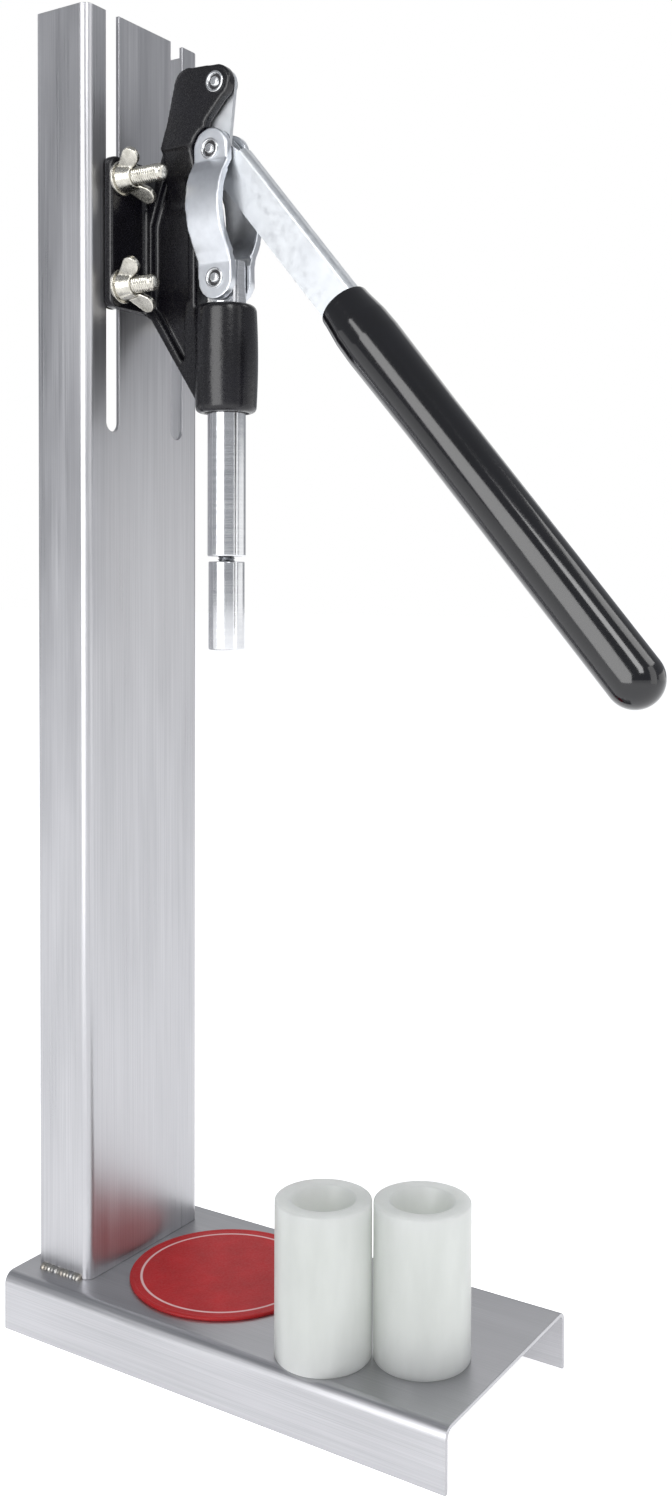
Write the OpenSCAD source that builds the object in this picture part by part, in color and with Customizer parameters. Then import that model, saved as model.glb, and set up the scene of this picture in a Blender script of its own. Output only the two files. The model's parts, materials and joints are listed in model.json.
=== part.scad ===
// Bench press for capping and corking bottles. A long lever works a toggle of two links,
// which drives a plunger straight down through the collar of a cast head. The head clamps
// to a slotted column, so it can be set to the height of the bottle.
// Millimetres. X runs across the base, Y runs from the open front to the column, Z is up.

/* [Base] */
// Length of the base, front to back
base_l = 240; // [235:5:320]
// Width of the base
base_w = 114; // [95:1:160]
// Height of the base's top face above the bench
base_h = 27; // [20:1:45]
// Thickness of the base sheet
base_t = 2; // [1.5:0.5:3]
// Outer radius of the base's two bends
base_bend_r = 5.5; // [4:0.5:9]
// How far the base shows behind the column
base_tail = 9; // [5:1:30]
// Diameter of the mat that the bottle stands on
mat_d = 91.4; // [60:0.2:96]
// Thickness of the mat
mat_t = 1.5; // [1:0.5:3]

/* [Column] */
// Height of the column above the base
column_h = 600; // [500:10:800]
// Width of the column's face
column_w = 84; // [80:1:110]
// Depth of the column, face to open back
column_d = 31; // [22:1:45]
// Thickness of the column sheet
column_t = 2; // [1.5:0.5:3]
// Outer radius of the column's two bends
column_bend_r = 4.5; // [3.5:0.5:8]
// Distance from the column's face to the plunger's axis
throat = 49.5; // [48:0.5:64]
// Distance from a slot's centre line to the column's side
slot_edge = 18; // [14.5:0.5:20]
// How far the slots run on below the lower bolts
slot_below = 68; // [64:1:120]
// Leg of the fillet welds at the column's foot
weld_leg = 3.2; // [2:0.2:5]

/* [Head casting] */
// Height of the clamp plate's middle above the base's top face
head_up = 496.25; // [440:0.25:540]
// Plate beyond the bolt holes' centres at its sides
plate_side = 6.6; // [6:0.1:12]
// Plate beyond the bolt holes' centres at its top and bottom
plate_end = 10.25; // [8:0.25:16]
// Thickness of the clamp plate
plate_t = 5; // [4:0.5:8]
// Corner radius of the clamp plate
plate_corner_r = 4; // [2:0.5:8]
// Thickness of the rib that joins the plate, the arm and the collar
rib_t = 14; // [10:0.5:16]
// Thickness of the web left between the rib's pockets
web_t = 7; // [4:0.5:9]
// Width of the rim around the pockets
rim_w = 4.5; // [3:0.5:6]
// Wall of the collar around its bore
collar_wall = 4.3; // [4:0.1:9]
// Height of the collar
collar_h = 50.5; // [40:0.5:62]
// How far the collar's top stands above the clamp plate's bottom edge
collar_rise = 0.75; // [0:0.25:4]
// Rounding of the collar's edges
collar_round = 2.6; // [1:0.2:4]
// Thickness of the cheek that carries the top pivot
cheek_t = 5; // [4:0.5:8]
// Wall of the boss around the top pivot
boss_wall = 4.2; // [4:0.1:8]
// Rounding of the arm's shoulder behind the top pivot
shoulder_r = 8; // [4:0.5:8.5]

/* [Clamp bolts] */
// Distance between the two rows of bolts
bolt_pitch_z = 50.5; // [42:0.5:61]
// Diameter of the clamp bolts
bolt_d = 8; // [6:0.1:10]
// Length of the upper bolts under the head
bolt_upper_l = 33.5; // [28:0.5:36]
// Length of the lower bolts under the head
bolt_lower_l = 28.5; // [26:0.5:36]
// How far the domed bolt heads reach past the shank
bolt_head_lip = 6; // [4:0.5:8]
// Height of the domed bolt heads
bolt_head_h = 4.5; // [3:0.5:6]
// Width of the washers' rings past the shank
washer_lip = 4; // [3:0.5:6]
// Thickness of the washers
washer_t = 1.5; // [1:0.1:2]
// Wall of a wing nut's hub at its seat
nut_wall = 2.8; // [2:0.1:4]
// Height of a wing nut's hub
nut_hub_h = 8; // [6:0.5:10]
// Reach of a wing from the nut's axis
wing_reach = 14; // [12:0.2:15]
// Height of a wing's tip above the seat
wing_h = 14; // [12:0.2:15]
// Radius of a wing's round tip
wing_tip_r = 4.2; // [3:0.2:5]
// Thickness of a wing
wing_t = 2.8; // [2:0.2:4]
// How far each nut is turned: upper left, upper right, lower left, lower right
nut_turns = [128, 62, 125, 75]; // [0:1:180]

/* [Toggle] */
// Gap between the collar's top and the links' lower ends at rest
toggle_gap = 1.75; // [1:0.25:6]
// How far the top pivot stands in front of the plunger's axis
pivot_forward = 0.5; // [0:0.1:2]
// Distance from the top pivot to the middle pin
crank_l = 30.2; // [28:0.2:37]
// Angle by which the middle pin rests past the straight line, towards the column
crank_past = 6.65; // [3:0.05:8]
// Distance from the middle pin to the lower pin
link_l = 60.1; // [50:0.1:73]
// Diameter of the three pins
pin_d = 8; // [6:0.1:9.6]
// Lip of a pin's flanged end past the pin
pin_lip = 0.9; // [0.7:0.1:1.4]
// Thickness of a pin's flanged end
pin_flange_t = 0.8; // [0.6:0.1:1.6]
// Thickness of the link straps
link_t = 4; // [3:0.5:6]
// Radius of the links' round ends, half of their width
link_r = 9.75; // [9:0.25:10]
// How far the links bow outwards between their ends
link_bow = 8.3; // [6:0.1:10]

/* [Lever] */
// Width of the lever's channel section
lever_w = 9; // [8.5:0.5:11]
// Depth of the lever's bar
lever_depth = 19.5; // [18:0.5:22]
// Thickness of the lever's sheet
lever_t = 2; // [1.5:0.25:2.5]
// Outer radius of the lever's bends
lever_bend_r = 2.6; // [2.2:0.2:3.2]
// Radius of the lever's round end at the top pivot
lever_eye_r = 7.4; // [7:0.1:8]
// Angle of the bar below the horizontal at rest
lever_drop = 49.5; // [40:0.1:60]
// Height of the bar's centre line above the middle pin, square to the bar
bar_rise = 1.5; // [0.5:0.1:3]
// Distance along the bar from the middle pin to the start of the grip
grip_start = 103.5; // [80:0.1:120]
// Distance along the bar from the middle pin to the centre of the grip's round tip
grip_end = 316.2; // [280:0.2:360]
// Radius of the grip at its mouth
grip_mouth_r = 12; // [11.9:0.1:13]
// Radius of the grip just past its mouth
grip_neck_r = 13.5; // [12.5:0.1:14]
// Radius of the grip's round tip
grip_tip_r = 12.5; // [12:0.1:14]
// Length over which the mouth swells to the full grip
grip_swell_l = 16; // [8:1:30]
// Depth of the tang inside the grip
tang_depth = 16; // [14:0.5:17]

/* [Plunger] */
// Diameter of the plunger rod
rod_d = 18; // [15:0.1:22]
// Thickness of the flat tongue at the rod's upper end
tongue_t = 10; // [9:0.5:14]
// Distance from the lower pin down to the end of the rod
rod_l = 129.4; // [110:0.2:150]
// Gap between the rod and the push tip, where the stud shows
stud_gap = 2.4; // [1:0.2:4]
// Diameter of the stud that joins the rod and the tip
stud_d = 8; // [6:0.5:10]
// How far the stud screws into the rod, and into the tip
stud_grip = 13; // [8:0.5:18]
// Diameter of the push tip
tip_d = 17; // [14:0.1:21]
// Length of the push tip
tip_l = 41.6; // [30:0.2:60]

/* [Cork sleeves] */
// Outer diameter of a cork sleeve
sleeve_d = 42; // [36:0.5:52]
// Height of a cork sleeve
sleeve_h = 68; // [50:1:90]
// Diameter of the funnel at a sleeve's top
funnel_d = 28; // [25:0.5:32]
// Depth of the funnel
funnel_h = 14; // [8:1:20]
// Diameter of the socket under a sleeve, which fits over a bottle's lip
socket_d = 30.5; // [28:0.5:33]
// Depth of the socket
socket_h = 12; // [8:1:20]
// Base left free beside the first sleeve
sleeve_side = 0.2; // [0:0.2:6]
// Base left free in front of the second sleeve
sleeve_front = 13.6; // [0:0.2:16]
// Direction from the first sleeve to the second, seen from above
sleeve_turn = -60; // [-75:1:-45]

/* [Clearances] */
// Radial clearance of a pin in its bore
pin_fit = 0.05; // [0.02:0.01:0.1]
// Radial clearance of a bolt in its hole in the plate and the washer
bolt_fit = 0.4; // [0.2:0.1:0.6]
// Side clearance of a bolt in its slot
slot_fit = 0.5; // [0.4:0.1:1]
// Radial clearance of the plunger in the collar
rod_fit = 1.5; // [1.5:0.1:2]
// Side gap between the cheek, the lever, the links and the rod's tongue
side_gap = 0.5; // [0.3:0.1:0.8]
// Gap between the links' round ends and the head casting
link_clear = 0.8; // [0.6:0.1:1.5]
// Gap around the tang inside the grip
tang_fit = 0.1; // [0.05:0.05:0.3]
// Radial clearance of the push tip in a sleeve's bore
sleeve_fit = 0.75; // [0.5:0.05:1.5]
// Gap between the two cork sleeves
sleeve_gap = 0.45; // [0.3:0.05:0.9]

/* [Hidden] */
$fn = 96;
eps = 0.01;
through = 200;

// Round sizes
pin_r = pin_d / 2;
rod_r = rod_d / 2;
bolt_r = bolt_d / 2;
slot_w = bolt_d + 2 * slot_fit;
bolt_pitch_x = column_w - 2 * slot_edge;
collar_r = rod_r + rod_fit + collar_wall;
boss_r = pin_r + boss_wall;
pin_flange_r = pin_r + pin_lip;
bolt_head_r = bolt_r + bolt_head_lip;
washer_r = bolt_r + washer_lip;
nut_hub_r = bolt_r + nut_wall;
sleeve_bore_d = tip_d + 2 * sleeve_fit;

// Heights, and the clamp plate
plate_w = bolt_pitch_x + 2 * plate_side;
plate_h = bolt_pitch_z + 2 * plate_end;
head_z = base_h + head_up;
plate_top = head_z + plate_h / 2;
plate_bottom = head_z - plate_h / 2;
plate_face = throat - plate_t;
collar_top = plate_bottom + collar_rise;
collar_bottom = collar_top - collar_h;

// Pins, as [y, z] measured from the plunger's axis and the bench
low_pin = [0, collar_top + toggle_gap + link_r];
mid_y = crank_l * sin(crank_past) - pivot_forward;
mid_pin = [mid_y, low_pin[1] + sqrt(link_l * link_l - mid_y * mid_y)];
top_pin = mid_pin + crank_l * [-sin(crank_past), cos(crank_past)];

// Widths across the toggle, from the middle plane outwards
cheek_in = lever_w / 2 + side_gap;
cheek_out = cheek_in + cheek_t;
ear_in_top = lever_w / 2 + side_gap + 0.3;
ear_in_low = tongue_t / 2 + side_gap;
clip_t = 1;

// Bar of the lever: s runs along it from the middle pin, n stands square to it
bar_dir = [-cos(lever_drop), -sin(lever_drop)];
bar_up = [-sin(lever_drop), cos(lever_drop)];
bar_top = bar_rise + lever_depth / 2;
eye_ns = [(top_pin - mid_pin) * bar_up, (top_pin - mid_pin) * bar_dir];
// The web starts past the links' ends. The tang starts before the grip and ends inside it
web_start = link_r + 0.45;
tang_lap = 6;
tang_end = grip_end - 8;
lever_front = mid_pin[0] + grip_end * bar_dir[0] + bar_rise * bar_up[0] - grip_tip_r;

// The part's own origin is under the middle of its outline, so the press stands at press_y
back_y = throat + column_d + base_tail;
press_y = -(min(lever_front, back_y - base_l) + back_y) / 2;

// The first sleeve stands by the base's left edge, and the second by its front
sleeve_pitch = sleeve_d + sleeve_gap;
sleeve_a_x = -base_w / 2 + sleeve_side + sleeve_d / 2;
sleeve_b_y = back_y - base_l + sleeve_front + sleeve_d / 2;

// Rib of the head casting, counted anticlockwise in [y, z]. The arm is set out from the
// top pivot: its back edge leaves the plate at the root, turns at the bend and the heel,
// and reaches the crown behind the lever.
rib_front = mid_pin[0] + link_r + link_clear;
plate_mid = throat - plate_t / 2;
collar_wrap = collar_r * 0.72;
pocket_heel = plate_face - 4;
arm_root = top_pin + [36, -33];
arm_bend = top_pin + [29.2, -15];
arm_heel = top_pin + [23.2, 1];
arm_crown = top_pin + [17.7, 6];
pocket_crown = top_pin + [30.5, -19];
rib_outline = [
    [collar_wrap, collar_bottom + 2],
    [pocket_heel, plate_bottom - 3.5],
    [plate_mid, plate_bottom + 1],
    [plate_mid, head_z + 1],
    [plate_face - 0.5, head_z + 8],
    arm_root,
    arm_bend,
    arm_heel,
    arm_crown,
    [rib_front, arm_crown[1]],
    [rib_front, collar_top - 1],
    [collar_wrap, collar_top - 4]
];
pocket_outline = [
    [collar_r + 1, collar_bottom + 8],
    [pocket_heel, plate_bottom - 3.5],
    [plate_face, plate_bottom],
    [plate_face, head_z + 7],
    arm_root,
    pocket_crown,
    [rib_front, pocket_crown[1]],
    [rib_front, collar_top + 3],
    [collar_r + 1, collar_top]
];

// ---- outlines and points ----

// The outline moved inwards by d, with square corners
function unit(v) = v / norm(v);
function inward(a, b) = let(u = unit(b - a)) [-u[1], u[0]];
function inset_corner(p, q, r, d) =
    let(n1 = inward(p, q), n2 = inward(q, r)) q + d * (n1 + n2) / (1 + n1 * n2);
function inset(pts, d) =
    let(n = len(pts))
    [for (i = [0:n - 1]) inset_corner(pts[(i + n - 1) % n], pts[i], pts[(i + 1) % n], d)];

// Two circles and the straight sides that run from one to the other, a hair inside both
module strap(p, q, rp, rq) {
    u = unit(q - p);
    w = [-u[1], u[0]];
    k = (rp - rq) / norm(q - p);
    c = sqrt(1 - k * k);
    p_side = rp - 0.02;
    q_side = rq - 0.02;
    translate(p) circle(rp);
    translate(q) circle(rq);
    polygon([
        p + p_side * (k * u + c * w), p + p_side * (k * u - c * w),
        q + q_side * (k * u - c * w), q + q_side * (k * u + c * w)
    ]);
}

// A rectangle on its bottom edge, with its two upper corners rounded
module arch(w, h, r) {
    translate([-w / 2, 0]) square([w, h - r]);
    translate([-w / 2 + r, 0]) square([w - 2 * r, h]);
    for (side = [-1, 1]) translate([side * (w / 2 - r), h - r]) circle(r);
}

// Section of a sheet folded into a U, open at the bottom
module folded_u(w, h, t, r) {
    difference() {
        arch(w, h, r);
        translate([0, -eps]) arch(w - 2 * t, h - t + eps, r - t);
    }
}

// A rectangle about the origin with round corners
module round_rect(w, h, r) {
    square([w - 2 * r, h], center = true);
    square([w, h - 2 * r], center = true);
    for (x = [-1, 1], y = [-1, 1]) translate([x * (w / 2 - r), y * (h / 2 - r)]) circle(r);
}

// ---- placing ----

// Puts a piece from the plunger's axis to the part's own origin
module at_press() {
    translate([0, press_y, 0]) children();
}

// Gives a [y, z] outline its width from x0 to x1
module across(x0, x1) {
    translate([x0, 0, 0]) rotate([90, 0, 90]) linear_extrude(x1 - x0) children();
}

// A round bar along X through a [y, z] point
module cross_bar(p, r, x0, x1) {
    translate([x0, p[0], p[1]]) rotate([0, 90, 0]) cylinder(h = x1 - x0, r = r);
}

// Stands what is drawn about Z at each clamp bolt, with its Z pointing to the front
module at_bolts(rows) {
    for (side = [-1, 1], row = rows)
        translate([side * bolt_pitch_x / 2, 0, head_z + row * bolt_pitch_z / 2])
            rotate([90, 0, 0]) children();
}

// The lever's own frame at the middle pin: Y is n, square to the bar, and Z is s, along it
module at_lever() {
    translate([0, mid_pin[0], mid_pin[1]]) rotate([90 + lever_drop, 0, 0]) children();
}

// ---- stand ----

module base_channel() {
    color("#b9babb") at_press()
        translate([0, back_y, 0]) rotate([90, 0, 0]) linear_extrude(base_l)
            folded_u(base_w, base_h, base_t, base_bend_r);
}

module column_channel() {
    slot_r = slot_w / 2;
    slot_foot = head_z - bolt_pitch_z / 2 - slot_below - base_h;
    color("#c2c3c4") at_press() translate([0, throat, base_h]) difference() {
        translate([0, column_d, 0]) linear_extrude(column_h)
            rotate(180) folded_u(column_w, column_d, column_t, column_bend_r);
        for (side = [-1, 1]) translate([side * bolt_pitch_x / 2, -eps, slot_foot]) {
            translate([-slot_r, 0, slot_r]) cube([slot_w, column_t + 2 * eps, column_h]);
            translate([0, 0, slot_r]) rotate([-90, 0, 0])
                cylinder(h = column_t + 2 * eps, r = slot_r);
        }
    }
}

// Fillet welds along both flanges of the column's foot
module column_welds() {
    bead_l = column_d - column_bend_r;
    color("#8f9092") at_press()
        for (side = [0, 1]) mirror([side, 0, 0])
            translate([column_w / 2, throat + column_d, base_h]) rotate([90, 0, 0])
                linear_extrude(bead_l) polygon([[0, 0], [weld_leg, 0], [0, weld_leg]]);
}

module bottle_mat() {
    color("#c4171b") at_press() translate([0, 0, base_h]) cylinder(h = mat_t, r = mat_d / 2);
}

// ---- head ----

module clamp_plate() {
    translate([0, throat, head_z]) rotate([90, 0, 0]) linear_extrude(plate_t)
        round_rect(plate_w, plate_h, plate_corner_r);
}

// Cheek and boss on the left of the lever, cut back around the links' upper ends
module pivot_cheek() {
    shoulder = top_pin + [16.6, boss_r - shoulder_r + 1.2];
    across(-cheek_out, -cheek_in) difference() {
        union() {
            translate(top_pin) circle(boss_r);
            translate(shoulder) circle(shoulder_r);
            polygon([
                top_pin + (boss_r - 0.05) * [0, 1], top_pin + (boss_r - 0.05) * [-0.43, -0.9],
                top_pin + [5.9, -17], top_pin + [5.9, -26.5],
                top_pin + [33.2, -26.5], top_pin + [29, -15],
                shoulder + (shoulder_r - 0.05) * [cos(22), sin(22)],
                shoulder + [0, shoulder_r - 0.05]
            ]);
        }
        translate(mid_pin) circle(link_r + link_clear);
    }
}

module collar() {
    translate([0, 0, collar_bottom]) rotate_extrude() {
        square([collar_r - collar_round, collar_h]);
        translate([0, collar_round]) square([collar_r, collar_h - 2 * collar_round]);
        for (z = [collar_round, collar_h - collar_round])
            translate([collar_r - collar_round, z]) circle(collar_round);
    }
}

module head_casting() {
    color("#1d1b21") at_press() difference() {
        union() {
            clamp_plate();
            across(-rib_t / 2, rib_t / 2) polygon(rib_outline);
            pivot_cheek();
            collar();
        }
        for (side = [0, 1]) mirror([side, 0, 0])
            across(web_t / 2, rib_t / 2 + eps) polygon(inset(pocket_outline, rim_w));
        translate([0, 0, collar_bottom - eps])
            cylinder(h = collar_h + 2 * eps, r = rod_r + rod_fit);
        cross_bar(top_pin, pin_r + pin_fit, -cheek_out - eps, -cheek_in + eps);
        translate([0, throat + eps, 0]) at_bolts([-1, 1])
            cylinder(h = plate_t + 2 * eps, r = bolt_r + bolt_fit);
    }
}

// Carriage bolts, put through the slot from inside the column
module carriage_bolt(length) {
    dome_r = (bolt_head_r * bolt_head_r + bolt_head_h * bolt_head_h) / (2 * bolt_head_h);
    tip_r = bolt_d * 0.8;
    neck_w = min(bolt_d + 0.2, slot_w - 0.4);
    intersection() {
        translate([0, 0, dome_r - bolt_head_h]) sphere(dome_r);
        translate([0, 0, -bolt_head_h]) cylinder(h = bolt_head_h, r = bolt_head_r);
    }
    translate([-neck_w / 2, -neck_w / 2, 0]) cube([neck_w, neck_w, column_t - 0.2]);
    intersection() {
        cylinder(h = length, r = bolt_r);
        translate([0, 0, length - tip_r]) {
            sphere(tip_r);
            translate([0, 0, -length]) cylinder(h = length, r = bolt_r + 1);
        }
    }
}

module bolt_row(row, length) {
    color("#b7b3a6") at_press() translate([0, throat + column_t, 0])
        at_bolts([row]) carriage_bolt(length);
}

module upper_bolts() {
    bolt_row(1, bolt_upper_l);
}

module lower_bolts() {
    bolt_row(-1, bolt_lower_l);
}

module bolt_washers() {
    color("#bcb8ab") at_press() translate([0, plate_face, 0]) at_bolts([-1, 1])
        difference() {
            cylinder(h = washer_t, r = washer_r);
            translate([0, 0, -eps]) cylinder(h = washer_t + 2 * eps, r = bolt_r + bolt_fit);
        }
}

// A wing nut on the bolt at side and row, with its wings turned by an angle
module wing_nut(side, row, turn) {
    hub_taper = 1.4;
    wing_root_r = 3;
    wing_root = [nut_hub_r - 2.2, wing_root_r];
    color("#c3bba6") at_press()
        translate([side * bolt_pitch_x / 2, plate_face - washer_t, head_z + row * bolt_pitch_z / 2])
            rotate([90, 0, 0]) rotate(turn) difference() {
                union() {
                    cylinder(h = nut_hub_h, r1 = nut_hub_r, r2 = nut_hub_r - hub_taper);
                    for (wing = [0, 1]) mirror([wing, 0, 0])
                        translate([0, wing_t / 2, 0]) rotate([90, 0, 0]) linear_extrude(wing_t)
                            strap(wing_root, [wing_reach, wing_h] - [1, 1] * wing_tip_r,
                                  wing_root_r, wing_tip_r);
                }
                translate([0, 0, -eps]) cylinder(h = wing_h, r = bolt_r + pin_fit);
            }
}

module wing_nut_upper_left() {
    wing_nut(-1, 1, nut_turns[0]);
}

module wing_nut_upper_right() {
    wing_nut(1, 1, nut_turns[1]);
}

module wing_nut_lower_left() {
    wing_nut(-1, -1, nut_turns[2]);
}

module wing_nut_lower_right() {
    wing_nut(1, -1, nut_turns[3]);
}

// ---- toggle ----

// A turned pin end: a flange with a ring groove and a domed middle, about Z
module pin_flange() {
    difference() {
        cylinder(h = pin_flange_t, r = pin_flange_r);
        translate([0, 0, pin_flange_t * 0.4]) difference() {
            cylinder(h = pin_flange_t, r = pin_r - 0.6);
            cylinder(h = pin_flange_t, r = pin_r - 1.5);
        }
    }
}

// A pin across the toggle with a flange at each end
module riveted_pin(p, half) {
    color("#d6d8da") at_press() {
        cross_bar(p, pin_r, -half, half);
        for (side = [0, 1]) mirror([side, 0, 0])
            translate([half, p[0], p[1]]) rotate([0, 90, 0]) pin_flange();
    }
}

module middle_pin() {
    riveted_pin(mid_pin, ear_in_top + link_t);
}

module lower_pin() {
    riveted_pin(low_pin, ear_in_low + link_t);
}

// Flanged at the cheek and held inside the lever by a clip in a groove
module top_pivot_pin() {
    clip_x = side_gap + lever_t - lever_w / 2;
    groove_r = pin_r - 1;
    color("#d6d8da") at_press() {
        translate([-cheek_out, top_pin[0], top_pin[1]]) rotate([0, -90, 0]) pin_flange();
        cross_bar(top_pin, pin_r, -cheek_out, clip_x);
        cross_bar(top_pin, groove_r, clip_x - eps, clip_x + clip_t + 0.1);
        cross_bar(top_pin, pin_r, clip_x + clip_t + 0.1, clip_x + clip_t + 1.8);
    }
}

module top_pin_clip() {
    clip_x = side_gap + lever_t - lever_w / 2 + 0.05;
    groove_r = pin_r - 1 + pin_fit;
    color("#3a3a3c") at_press() difference() {
        cross_bar(top_pin, pin_r + 2.5, clip_x, clip_x + clip_t);
        cross_bar(top_pin, groove_r, clip_x - eps, clip_x + clip_t + eps);
        translate([clip_x - eps, top_pin[0] - groove_r * 0.8, top_pin[1]])
            cube([clip_t + 2 * eps, groove_r * 1.6, through]);
    }
}

// Section of the right-hand link in [x, z]: a joggle at the top, then a bow in to the foot.
// The bow's arc runs from rise above bow_mid to fall below it.
module link_section() {
    bow_out = ear_in_top + link_t + link_bow;
    bow_mid = (mid_pin[1] + low_pin[1]) / 2 + 2;
    rise = 17;
    fall = 20;
    sag = bow_out - (ear_in_low + link_t) - 1.9;
    bow_r = (fall * fall + sag * sag) / (2 * sag);
    bow_x = bow_out - bow_r;
    top_x = bow_x + sqrt(bow_r * bow_r - rise * rise);
    low_x = bow_x + sqrt(bow_r * bow_r - fall * fall);
    step_z = mid_pin[1] - pin_flange_r - 0.6;
    foot_z = low_pin[1] + 7;
    translate([ear_in_top, step_z]) square([link_t, link_r * 2]);
    polygon([
        [ear_in_top, step_z + eps], [top_x - link_t, bow_mid + rise - eps],
        [top_x, bow_mid + rise - eps], [ear_in_top + link_t, step_z + eps]
    ]);
    intersection() {
        translate([bow_x, bow_mid]) difference() {
            circle(bow_r);
            circle(bow_r - link_t);
        }
        translate([0, bow_mid - fall]) square([bow_out + 1, rise + fall]);
    }
    polygon([
        [low_x - link_t, bow_mid - fall + eps], [ear_in_low, foot_z - eps],
        [ear_in_low + link_t, foot_z - eps], [low_x, bow_mid - fall + eps]
    ]);
    translate([ear_in_low, low_pin[1] - link_r]) square([link_t, foot_z - low_pin[1] + link_r]);
}

module link_strap() {
    reach = 2 * link_r;
    difference() {
        intersection() {
            translate([0, reach, 0]) rotate([90, 0, 0]) linear_extrude(2 * reach) link_section();
            across(0, through) strap(mid_pin, low_pin, link_r, link_r);
        }
        cross_bar(mid_pin, pin_r + pin_fit, 0, through);
        cross_bar(low_pin, pin_r + pin_fit, 0, through);
    }
}

module link_right() {
    color("#cfd1d3") at_press() link_strap();
}

module link_left() {
    color("#cfd1d3") at_press() mirror([1, 0, 0]) link_strap();
}

// ---- lever ----

// Outside of the folded bar, from s0 to s1 along the lever
module bar_length(s0, s1, depth) {
    translate([0, bar_rise - depth / 2, s0]) linear_extrude(s1 - s0)
        arch(lever_w, depth, lever_bend_r);
}

// Folded from one sheet: two side walls, joined by a web along the top of the bar only.
// The left wall alone runs on up to the top pivot
module lever_channel() {
    half = lever_w / 2;
    bar_low = bar_rise - lever_depth / 2;
    shoulder_n = bar_top - lever_bend_r;
    web_n = bar_top - lever_t;
    tang_n = bar_rise + tang_depth / 2 - lever_t;
    step_s = grip_start - tang_lap;
    color("#d9dbdd") at_press() at_lever() difference() {
        union() {
            across(-half, -half + lever_t) strap(eye_ns, [0, 0], lever_eye_r, lever_eye_r);
            across(-half, half) {
                circle(lever_eye_r);
                polygon([
                    [-lever_eye_r, 0], [lever_eye_r, 0], [shoulder_n - 1.2, web_start - 5.3],
                    [shoulder_n, web_start - 1], [shoulder_n, web_start + 2],
                    [bar_low, web_start + 2], [bar_low, lever_eye_r]
                ]);
            }
            bar_length(web_start, grip_start - 0.2, lever_depth);
            bar_length(step_s, tang_end, tang_depth);
        }
        across(-half + lever_t, half - lever_t) polygon([
            [-through, -through], [through, -through], [through, web_start], [web_n, web_start],
            [web_n, step_s], [tang_n, step_s], [tang_n, tang_end + 1], [-through, tang_end + 1]
        ]);
        cross_bar(eye_ns, pin_r + pin_fit, -half - eps, half + eps);
        cross_bar([0, 0], pin_r + pin_fit, -half - eps, half + eps);
    }
}

module lever_grip() {
    length = grip_end - grip_start;
    mouth_round = 1;
    color("#101013") at_press() at_lever() translate([0, bar_rise, grip_start]) difference() {
        union() {
            cylinder(h = mouth_round, r1 = grip_mouth_r - mouth_round * 0.4, r2 = grip_mouth_r);
            translate([0, 0, mouth_round])
                cylinder(h = grip_swell_l - mouth_round, r1 = grip_mouth_r, r2 = grip_neck_r);
            translate([0, 0, grip_swell_l])
                cylinder(h = length - grip_swell_l, r1 = grip_neck_r, r2 = grip_tip_r);
            translate([0, 0, length]) sphere(grip_tip_r);
        }
        translate([-lever_w / 2 - tang_fit, -tang_depth / 2 - tang_fit, -eps])
            cube([lever_w + 2 * tang_fit, tang_depth + 2 * tang_fit,
                  tang_end - grip_start + 2 * tang_fit]);
    }
}

// ---- plunger ----

module plunger_rod() {
    rod_bottom = low_pin[1] - rod_l;
    tongue_foot = low_pin[1] - link_r - 0.9;
    rod_top = low_pin[1] + rod_r - 0.5;
    color("#d3d5d8") at_press() difference() {
        intersection() {
            translate([0, 0, rod_bottom]) cylinder(h = rod_top - rod_bottom, r = rod_r);
            union() {
                translate([-through / 2, -through / 2, rod_bottom])
                    cube([through, through, tongue_foot - rod_bottom]);
                translate([-tongue_t / 2, -through / 2, rod_bottom])
                    cube([tongue_t, through, rod_l + 2 * rod_r]);
            }
        }
        cross_bar(low_pin, pin_r + pin_fit, -through / 2, through / 2);
        translate([0, 0, rod_bottom - eps])
            cylinder(h = stud_grip + eps, r = stud_d / 2 + pin_fit);
    }
}

module tip_stud() {
    color("#a9acb0") at_press() translate([0, 0, low_pin[1] - rod_l - stud_gap - stud_grip])
        cylinder(h = 2 * stud_grip + stud_gap, r = stud_d / 2);
}

module push_tip() {
    color("#cfd1d4") at_press()
        translate([0, 0, low_pin[1] - rod_l - stud_gap - tip_l]) difference() {
            cylinder(h = tip_l, r = tip_d / 2);
            translate([0, 0, tip_l - stud_grip])
                cylinder(h = stud_grip + eps, r = stud_d / 2 + pin_fit);
        }
}

// ---- cork sleeves ----

module cork_sleeve(x, y) {
    color("#e4e8e4") at_press() translate([x, y, base_h]) difference() {
        cylinder(h = sleeve_h, r = sleeve_d / 2);
        translate([0, 0, -eps]) cylinder(h = sleeve_h + 2 * eps, r = sleeve_bore_d / 2);
        translate([0, 0, sleeve_h - funnel_h])
            cylinder(h = funnel_h + eps, r1 = sleeve_bore_d / 2, r2 = funnel_d / 2);
        translate([0, 0, -eps]) cylinder(h = socket_h + eps, r = socket_d / 2);
    }
}

module cork_sleeve_a() {
    cork_sleeve(sleeve_a_x, sleeve_b_y - sleeve_pitch * sin(sleeve_turn));
}

module cork_sleeve_b() {
    cork_sleeve(sleeve_a_x + sleeve_pitch * cos(sleeve_turn), sleeve_b_y);
}

base_channel();
column_channel();
column_welds();
bottle_mat();
head_casting();
upper_bolts();
lower_bolts();
bolt_washers();
wing_nut_upper_left();
wing_nut_upper_right();
wing_nut_lower_left();
wing_nut_lower_right();
top_pivot_pin();
top_pin_clip();
lever_channel();
lever_grip();
link_left();
link_right();
middle_pin();
lower_pin();
plunger_rod();
tip_stud();
push_tip();
cork_sleeve_a();
cork_sleeve_b();
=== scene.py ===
"""Looks of a bench capping press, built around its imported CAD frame. Places are in metres, sizes in mm."""
import json
import math

import bmesh
import bpy
from mathutils import Matrix, Vector, noise


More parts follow.
